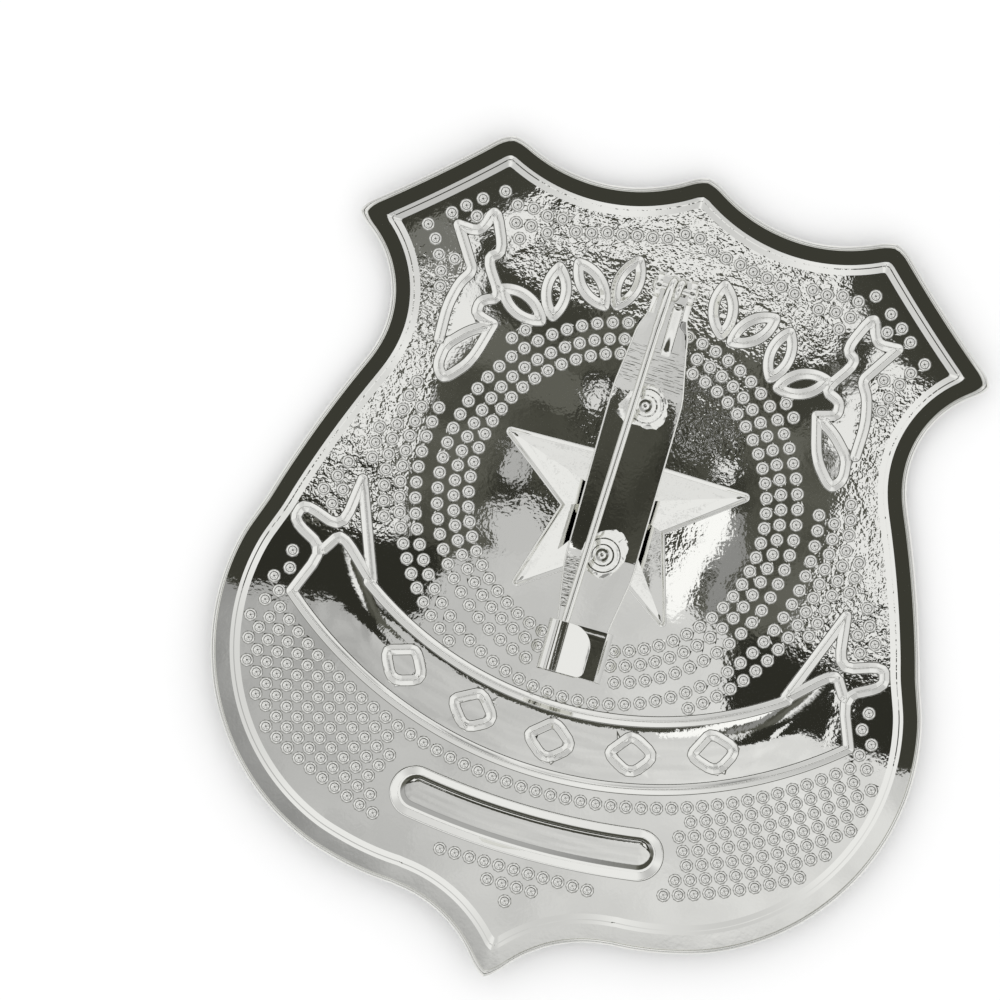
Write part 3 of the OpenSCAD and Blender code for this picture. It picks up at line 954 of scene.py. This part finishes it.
def catch_roll():
    """The catch end's cross-section, from the low right wall round by the floor and over the roll."""
    floor_z = bar_top - catch_t / 2 - 0.03 + bar_lift(-14)
    section = [(catch_x, bar_bottom + 1.3)]
    section += arc_stops(catch_x - fold_r, floor_z + fold_r, fold_r, 0, -90, 5)
    section += arc_stops(fold_r - catch_x, floor_z + fold_r, fold_r, -90, -180, 5)
    section += arc_stops(roll_r - catch_x, roll_z, roll_r, 180, 90, 7)
    crest_z = roll_z + roll_r
    rows = [[at(x, catch_low, z), at(x, catch_high, z)] for x, z in section]
    # the lip beyond the crest is trimmed round at its mouth
    lip_from, mouth_r, heel_r = -0.9, 2.1, 0.7
    mouth_y, heel_y, heel_x = catch_high - mouth_r, catch_low + heel_r, lip_from + mouth_r - heel_r
    for x in (-1.42, -1.3, lip_from, -0.5, -0.1, 0.3, 0.6, 0.85, 1.0, 1.1, 1.17, 1.2):
        high = mouth_y + math.sqrt(max(0, mouth_r ** 2 - max(0, x - lip_from) ** 2))
        low = heel_y - math.sqrt(max(0, heel_r ** 2 - max(0, x - heel_x) ** 2))
        z = crest_z - 0.17 * max(0, x + 1.36)
        rows.append([at(x, low, z), at(x, high, z)])
    roll = bent_strip("catch_roll", rows)
    finish_with(roll, "SOLIDIFY", thickness=catch_t * mm, offset=0)
    # the low wall's edge is sheared aslant
    shape = into_edit(roll)
    pick(shape, lambda place: place.x > catch_x * mm and place.z > (bar_bottom + 1.2) * mm)
    bpy.ops.transform.translate(value=(0, 0, -0.16 * mm))
    bpy.ops.object.mode_set(mode="OBJECT")
    edges_rounded(roll, 0.12)
    return roll


def standing_ear(x):
    """A round-topped ear: a disc whose lower half is drawn down and out to a foot on the strip."""
    middle, foot_z = at(x, axle_y, axle_z), (bar_bottom + 0.02) * mm
    ear = round_blank("ear", 36, ear_r, middle, (0, 90, 0))
    pick(bmesh.from_edit_mesh(ear.data), lambda place: place.z < middle.z - 1e-5)
    foot_middle = (middle.x, middle.y + ear_r * mm, foot_z)
    foot_span = (bar_sides[-1][0] - slot_from - 2.2) / (2 * ear_r)
    bpy.ops.transform.resize(value=(1, 1, 0), center_override=foot_middle)
    bpy.ops.transform.resize(value=(1, foot_span, 1), center_override=foot_middle)
    bpy.ops.mesh.select_all(action="SELECT")
    extruded((ear_t * mm, 0, 0))
    out_of_edit()
    edges_rounded(ear, 0.12)
    return ear


def tongue():
    """The tongue that the coil springs against, lifted in a curve from the strip."""
    rows = []
    reach = slot_to - 0.4 - (slot_from - 0.6)
    for t in np.linspace(0, 1, 9):
        y = slot_from - 0.6 + reach * t
        z = bar_top + bar_lift(y) + 0.01 + tongue_rise * (t - 0.12 * math.sin(math.pi * t))
        rows.append([at(tongue_low_x, y, z), at(tongue_high_x, y, z)])
    strip = bent_strip("tongue", rows)
    finish_with(strip, "SOLIDIFY", thickness=tongue_t * mm, offset=-1)
    edges_rounded(strip, 0.1)
    return strip


def cutter(x, y, half_x, half_y):
    """A round or square punch through the strip."""
    bpy.ops.object.select_all(action="DESELECT")
    if half_x == half_y:
        bpy.ops.mesh.primitive_cylinder_add(vertices=40, radius=half_x * mm, depth=4 * mm,
                                            location=at(x, y, bar_top))
    else:
        bpy.ops.mesh.primitive_cube_add(size=1, location=at(x, y, bar_top))
        bpy.ops.transform.resize(value=(2 * half_x * mm, 2 * half_y * mm, 4 * mm))
    placed(bpy.context.object)
    return bpy.context.object


bar = bar_strip()
punches = [cutter(x, y, rivet_hole_r, rivet_hole_r) for _, x, y in rivet_places]
punches.append(cutter(0.5, (slot_from + slot_to) / 2, 0.5, (slot_to - slot_from) / 2))
fused(bar, punches, "DIFFERENCE")
fused(bar, [catch_roll(), tongue()] + [standing_ear(x) for x in ear_places])
settled(bar)


def bar_plating():
    """Bright plate over rolled strip: almost flat, with marks where the press took hold of its ends."""
    metal, tree, shader = bright_metal("bar_plate", 0.012)
    place = place_in_mm(tree)
    x, y = split_up(place)
    # hatching beside the needle above the catch, and cross stripes below the ears
    stripes = node(tree, "TexNoise", times_each(place, (0.8, 7.0, 1)), None, 1.0, 1.0, 0.5)
    stripes = maths("SUBTRACT", stripes, 0.5)
    low = times(fall(x, -1.9, -1.5), band(y, -10.8, -10.0, -6.2, -5.4), 11.0)
    high = times(band(y, 10.6, 11.4, 14.4, 15.2), 1.9)
    marks = times(stripes, maths("ADD", low, high), micron)
    bump(tree, shader, maths("ADD", ripples(tree, place, 2.0, 0.5, 0.35), marks))
    return metal


bar.data.materials.append(bar_plating())
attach(bar, "badge")
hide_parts("pin_bar")

# The two big rivets. Each is a soft steel post through the bar and the sheet, whose head a turning
# tool spun down over the bar: it left rings, a dimple, and a ragged flash of squeezed-out metal.
post_r = 1.2
skirt_r, skirt_h = 1.8, 0.12
# each ring of the head: its radius, its height over the bar, and how far it was pushed off centre
head_rings = [(1.9, 0.0, 0), (1.96, 0.07, 0), (1.86, 0.16, 0.02), (1.63, 0.235, 0.03), (1.5, 0.235, 0.06),
              (1.32, 0.295, 0.07), (1.26, 0.275, 0.06), (1.04, 0.345, 0.03), (0.92, 0.345, -0.01),
              (0.7, 0.415, -0.03), (0.6, 0.34, -0.05), (0.36, 0.31, -0.06), (0.24, 0.38, -0.05),
              (0.08, 0.41, -0.04)]
# where each head's flash is: its bearing, half its spread, and how far it reaches past the head
flashes = {"rivet_upper": [(210, 40, 0.75), (320, 45, 0.35)],
           "rivet_lower": [(60, 75, 0.7), (280, 30, 0.25)]}


def spun_rivet(name, x, y):
    head_z = bar_top + 0.02
    foot_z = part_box(name)[0].z / mm
    rivet = round_blank(name + "_head", 48, post_r, at(x, y, foot_z))
    extruded((0, 0, (head_z - foot_z) * mm))
    radius, height, off = post_r, 0, 0
    for next_radius, next_height, next_off in head_rings:
        size = next_radius / radius
        drawn_out(((next_off - off) * mm, 0, (next_height - height) * mm), (size, size, 1),
                  at(x + next_off, y, head_z + next_height))
        radius, height, off = next_radius, next_height, next_off
    shape = bmesh.from_edit_mesh(rivet.data)
    middle = at(x, y, head_z)

    def skirt(place, turn=0, spread=360):
        """Whether a point lies on the head's lowest edge, and within the spread about a bearing."""
        away = place - middle
        swing = (math.degrees(math.atan2(away.y, away.x)) - turn + 180) % 360 - 180
        low = -1e-5 < away.z < skirt_h * mm
        return low and math.hypot(away.x, away.y) > skirt_r * mm and abs(swing) < spread

    for turn, spread, reach in flashes[name]:
        push = Vector((math.cos(math.radians(turn)), math.sin(math.radians(turn)), 0)) * reach / 4 * mm
        for step in (1, 0.75, 0.5, 0.25):
            pick(shape, lambda place: skirt(place, turn, spread * step))
            bpy.ops.transform.translate(value=push)
    pick(shape, skirt)
    bpy.ops.transform.vertex_random(offset=0.07 * mm, uniform=1.0, seed=3)
    out_of_edit()
    edges_rounded(rivet, 0.03, 2)
    settled(rivet, 14)
    return rivet


def spun_metal():
    """Bright metal smeared round by the tool."""
    metal, tree, shader = bright_metal("spun_rivet", 0.035)
    place = place_in_mm(tree)
    bump(tree, shader, ripples(tree, place, 3.0, 8.0, 3.5))
    return metal


rivet_metal = spun_metal()
for name, x, y in rivet_places:
    rivet = spun_rivet(name, x, y)
    rivet.data.materials.append(rivet_metal)
    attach(rivet, "badge")
    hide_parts(name)

# The hinge rivet. The real one is a length of wire through the two ears and the coil, with each end
# struck to a low dome.
axle_r = 0.33
dome_r = 0.62
dome_t = 0.25
dome_tip_r = 0.12
hinge_left, hinge_right = hinge_low.x / mm, hinge_high.x / mm
# from a dome's end inwards: how deep each stop lies, and its radius
dome_stops = [(0, dome_tip_r), (0.03, 0.36), (0.1, 0.54), (dome_t - 0.04, dome_r), (dome_t, 0.58),
              (dome_t, axle_r)]
hinge_stops = [(hinge_left + deep, radius) for deep, radius in dome_stops[1:]]
hinge_stops += [(hinge_right - deep, radius) for deep, radius in dome_stops[::-1]]
hinge_rivet = round_blank("hinge_rivet_wire", 28, dome_tip_r, at(hinge_left, axle_y, axle_z), (0, 90, 0))
x, radius = hinge_left, dome_tip_r
for next_x, next_radius in hinge_stops:
    size = next_radius / radius
    drawn_out(((next_x - x) * mm, 0, 0), (1, size, size), at(next_x, axle_y, axle_z))
    x, radius = next_x, next_radius
out_of_edit()
settled(hinge_rivet)
hinge_rivet.data.materials.append(rivet_metal)
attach(hinge_rivet, "badge")
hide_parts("hinge_rivet")

# The needle. The real one is hard drawn wire: a short tail and one and a half turns round the hinge
# rivet, a thicker root, a straight shaft and a ground point. It springs against the tongue and lies in
# the catch.
wire_r = 0.375
root_r = 0.425
coil_r = 0.75
coil_pitch = 0.76
coil_turns = 1.5
turn_steps = 24
tail_length = 0.5
needle_x = -0.75
needle_lean = 1.62
root_start_x = -0.66
root_length = 4.2
shaft_length = 27.4
point_length = 4.2
wire_sides = 24
# how the point narrows: each stop's share of its length and its radius
point_stops = [(0.2, 0.33), (0.45, 0.26), (0.7, 0.18), (0.9, 0.11), (0.98, 0.07), (1.0, 0.03)]


def drawn_needle():
    """A round of wire is wound round the hinge and then drawn out to the point."""
    axle = at(0, axle_y, axle_z)
    start_x = root_start_x + coil_pitch * coil_turns
    tail_end = at(start_x, axle_y - tail_length, axle_z - coil_r)
    wire = round_blank("needle_wire", wire_sides, wire_r, tail_end, (90, 0, 0))
    extruded((0, tail_length * mm, 0))
    steps = round(coil_turns * turn_steps)
    for _ in range(steps):
        extruded((-coil_pitch * coil_turns / steps * mm, 0, 0))
        # without a window the operator turns the other way
        bpy.ops.transform.rotate(value=-2 * math.pi / turn_steps, orient_axis="X", center_override=axle)
    lean = Vector((-math.sin(math.radians(needle_lean)), -math.cos(math.radians(needle_lean)), 0))
    top = at(root_start_x, axle_y, axle_z + coil_r)
    root_end = at(needle_x, axle_y, axle_z + coil_r) + lean * root_length * mm
    stops = [(top.lerp(root_end, 0.07), root_r), (top.lerp(root_end, 0.93), root_r), (root_end, wire_r)]
    stops += [(root_end + lean * shaft_length * mm * i / 6, wire_r) for i in range(1, 7)]
    shaft_end = stops[-1][0]
    stops += [(shaft_end + lean * point_length * mm * share, radius) for share, radius in point_stops]
    place, radius = top, wire_r
    for next_place, next_radius in stops:
        size = next_radius / radius
        drawn_out(next_place - place, (size, size, size), next_place)
        place, radius = next_place, next_radius
    out_of_edit()
    settled(wire)
    return wire


def drawn_wire():
    """Bright wire, with the fine lengthwise lines of the die."""
    metal, tree, shader = bright_metal("drawn_wire", 0.03)
    place = place_in_mm(tree)
    along = node(tree, "Mapping", place, None, (0, 0, -math.radians(needle_lean)), (0.18, 8.0, 0.18),
                 vector_type="TEXTURE")
    die_lines = times(node(tree, "TexNoise", along, None, 1.0, 2.0, 0.5), 2 * micron)
    bump(tree, shader, maths("ADD", die_lines, ripples(tree, place, 1.5, 1.0, 0.3)))
    return metal


needle = drawn_needle()
needle.data.materials.append(drawn_wire())
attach(needle, "needle")
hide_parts("needle")

# The floor, the light and the camera. The badge lies on white paper under a white tent, and mirrors
# it: the hole over the camera, the tent's seam round the hole, and the grey front of the room.
bpy.ops.object.select_all(action="DESELECT")
bpy.ops.mesh.primitive_plane_add(size=4, location=(0, 0, 0))
floor = bpy.context.object
floor.name = "floor"
paper = bpy.data.materials.new("pale_paper")
paper.use_nodes = True
paper.node_tree.nodes["Principled BSDF"].inputs["Base Color"].default_value = (0.93, 0.93, 0.93, 1)
paper.node_tree.nodes["Principled BSDF"].inputs["Roughness"].default_value = 0.9
floor.data.materials.append(paper)

camera_height = 1.0
camera_x, camera_y = -0.0104, 0.0044
camera_turn = 15.82
view_width = 0.0917
camera_data = bpy.data.cameras.new("camera")
camera = bpy.data.objects.new("camera", camera_data)
bpy.context.scene.collection.objects.link(camera)
bpy.context.scene.camera = camera
camera_data.sensor_width = 36
camera_data.lens = camera_data.sensor_width * camera_height / view_width
camera_data.clip_end = 10
camera.location = (camera_x, camera_y, camera_height)
camera.rotation_euler = (0, 0, math.radians(camera_turn))
bpy.context.scene.view_settings.view_transform = "Standard"

world = bpy.data.worlds.new("tent")
bpy.context.scene.world = world
world.use_nodes = True
# the floor and the metal find the tent by their own bounces, so no light is drawn from it a second time
world.cycles.sampling_method = "NONE"
tent = world.node_tree
tent.nodes.clear()
sky_way = tent.nodes.new("ShaderNodeTexCoord").outputs["Generated"]
sky_x, sky_y = split_up(sky_way)
# the dish mirrors the sky near the zenith like a map: a sky direction is read as the place on the
# field, in millimetres from the star's middle, that mirrors it
dish_turn = 4 * dish_sag / dish_r ** 2 - mm
map_x = maths("DIVIDE", maths("SUBTRACT", -camera_x, sky_x), dish_turn)
map_y = maths("DIVIDE", maths("SUBTRACT", star_y * mm - camera_y, sky_y), dish_turn)
drape = node(tent, "CombineXYZ", map_x, map_y, 0.0)


def creased(item, shift):
    """The cloth's creases make every edge on the map ragged."""
    moved = node(tent, "VectorMath", drape, (shift, shift, 0), operation="ADD")
    crease = maths("MULTIPLY_ADD", node(tent, "TexNoise", moved, None, 0.6, 5.0, 0.65), 4.4, -2.2)
    return maths("ADD", item, crease)


def length(x, y):
    return maths("SQRT", maths("ADD", maths("POWER", x, 2.0), maths("POWER", y, 2.0)))


def blend(share, a, b):
    """From a to b as share goes from nought to one."""
    return node(tent, "MapRange", share, 0.0, 1.0, a, b)


def card(x, y, half_x, half_y, soft):
    """The share of a soft-edged oval on the map."""
    away = length(maths("DIVIDE", maths("SUBTRACT", map_x, x), half_x),
                  maths("DIVIDE", maths("SUBTRACT", map_y, y), half_y))
    return fall(away, 1 - soft, 1 + soft)


def bearing_share(middle, half):
    """One where the sky lies at a bearing, in degrees turned from +x, and nought further off than half."""
    c, s = math.cos(math.radians(middle)), math.sin(math.radians(middle))
    facing = maths("DIVIDE", maths("MULTIPLY_ADD", sky_x, c, times(sky_y, s)), maths("MAXIMUM", wide, 1e-4))
    edge = math.cos(math.radians(half))
    return rise(facing, edge - 0.12, edge + 0.12)


map_x, map_y = creased(map_x, 0.0), creased(map_y, 40.0)
map_r = length(map_x, map_y)
wide = length(sky_x, sky_y)
side = maths("ABSOLUTE", map_x)
hole, bright, dim, grey, white, black = 0.05, 0.95, 0.055, 0.72, 0.98, 0.03
cloud = node(tent, "TexNoise", node(tent, "CombineXYZ", map_x, map_y, 0.0), None, 0.16, 2.0, 0.5)
patchy = rise(cloud, 0.35, 0.65)
# the hole over the badge, unevenly dark, and the cloth round it: bright at the sides, dark in two corners
sky = blend(rise(map_r, 11.0, 13.0), blend(patchy, hole - 0.015, hole + 0.03), blend(patchy, 0.07, 0.14))
aslant = maths("ADD", maths("MULTIPLY_ADD", side, 0.69, map_y), times(map_x, 0.02))
corner = times(rise(side, 13.6, 14.6), rise(aslant, 33.9, 34.7))
sky = blend(rise(map_r, 19.3, 20.8), sky, blend(corner, bright, dim))
for x, y, half_x, half_y, soft, tone in (
        (-12.0, 16.0, 6.0, 3.2, 0.12, dim), (13.5, 14.5, 4.0, 3.2, 0.12, dim),
        (-22.6, 16.5, 2.8, 4.6, 0.12, 0.2), (-27.0, -7.5, 3.0, 3.4, 0.15, 0.15),
        (-17.3, 18.6, 1.6, 2.4, 0.1, dim), (17.3, 18.6, 1.6, 2.4, 0.1, dim)):
    sky = blend(card(x, y, half_x, half_y, soft), sky, tone)
sky = blend(rise(map_r, 30.5, 32.0), sky, hole)
# the room's two black screens, and its floor below them, grey at the left and paler at the right
sky = blend(times(band(side, 13.0, 14.6, 32.0, 34.0), fall(map_y, -9.0, -7.0)), sky, black)
floor_edge = maths("ADD", node(tent, "MapRange", side, 5.0, 13.0, -4.6, -9.4),
                   node(tent, "MapRange", side, 13.0, 15.0, 0.0, -6.8))
floor_share = fall(maths("SUBTRACT", map_y, floor_edge), -0.2, 0.2)
shaded = node(tent, "MapRange", map_x, -27.0, 22.0, grey - 0.2, grey + 0.13)
shaded = maths("MULTIPLY_ADD", maths("SUBTRACT", cloud, 0.5), 0.3, shaded)
shaded = blend(card(-22.5, -16.0, 3.0, 5.5, 0.6), shaded, times(shaded, 0.78))
sky = blend(floor_share, sky, shaded)
# lamps and windows in the hole
for x, y, half_x, half_y, tone in (
        (-8.0, 8.5, 2.4, 2.3, 0.13), (-4.6, 8.8, 0.8, 1.5, 0.8), (4.8, 8.6, 1.6, 2.8, 0.4),
        (8.9, 5.7, 0.9, 0.8, 0.9), (-10.2, 0.8, 1.1, 1.7, 0.5), (-8.0, -4.6, 3.2, 2.4, 0.62),
        (8.7, -0.5, 1.7, 3.4, 1.15), (7.6, -5.0, 1.7, 3.0, 1.15), (11.2, -3.0, 1.2, 5.0, 0.3),
        (24.0, -14.0, 1.3, 3.2, 0.95)):
    sky = blend(card(x, y, half_x, half_y, 0.05), sky, tone)
beyond = times(rise(map_r, 52.0, 56.0), maths("SUBTRACT", 1.0, floor_share))
sky = blend(largest(beyond, rise(wide, 0.13, 0.15)), sky, white)
# a dark seam round the hole, heavy on two opposite sides, and the wall beyond it, darker on one side
across = maths("DIVIDE", times(sky_x, sky_y), maths("MAXIMUM", maths("POWER", wide, 2.0), 1e-6))
level = largest(bearing_share(0, 20), bearing_share(180, 20))
heavy = largest(fall(across, -0.35, 0.1), level, bearing_share(270, 50))
seam = times(blend(level, rise(wide, 0.12, 0.14), rise(wide, 0.09, 0.11)), fall(wide, 0.27, 0.31))
sky = blend(times(seam, blend(heavy, 0.55, 0.97)), sky, hole)
wall = band(wide, 0.34, 0.38, 0.56, 0.62)
streaks = rise(node(tent, "TexNoise", sky_way, None, 95.0, 3.0, 0.6), 0.34, 0.5)
dull = bearing_share(197, 22)
sky = blend(wall, sky, blend(streaks, blend(dull, 0.8, 0.12), blend(dull, white, 0.7)))
sky = blend(times(wall, bearing_share(270, 14)), sky, times(sky, 0.88))
for middle, half, tone in ((60, 22, 0.7), (135, 16, 0.5), (205, 24, 0.8), (300, 14, 0.6)):
    sky = blend(times(rise(wide, 0.6, 0.7), bearing_share(middle, half)), sky, tone)
# the cloth hangs in grey folds half-way down, where only a view from the side mirrors it
folds = fall(node(tent, "TexNoise", sky_way, None, 4.5, 2.0, 0.5), 0.42, 0.58)
sky = blend(times(band(wide, 0.6, 0.66, 0.79, 0.84), folds), sky, 0.3)
# seen straight, or lighting the paper, the cloth is plain and white
path = tent.nodes.new("ShaderNodeLightPath")
sky = blend(largest(path.outputs["Is Camera Ray"], path.outputs["Is Diffuse Ray"]), sky, 1.12)
blue = times(sky, blend(rise(sky, 0.0, 0.35), 0.78, 1.0))
backdrop = node(tent, "Background", node(tent, "CombineColor", sky, sky, blue), 1.0)
tent.links.new(backdrop, tent.nodes.new("ShaderNodeOutputWorld").inputs["Surface"])
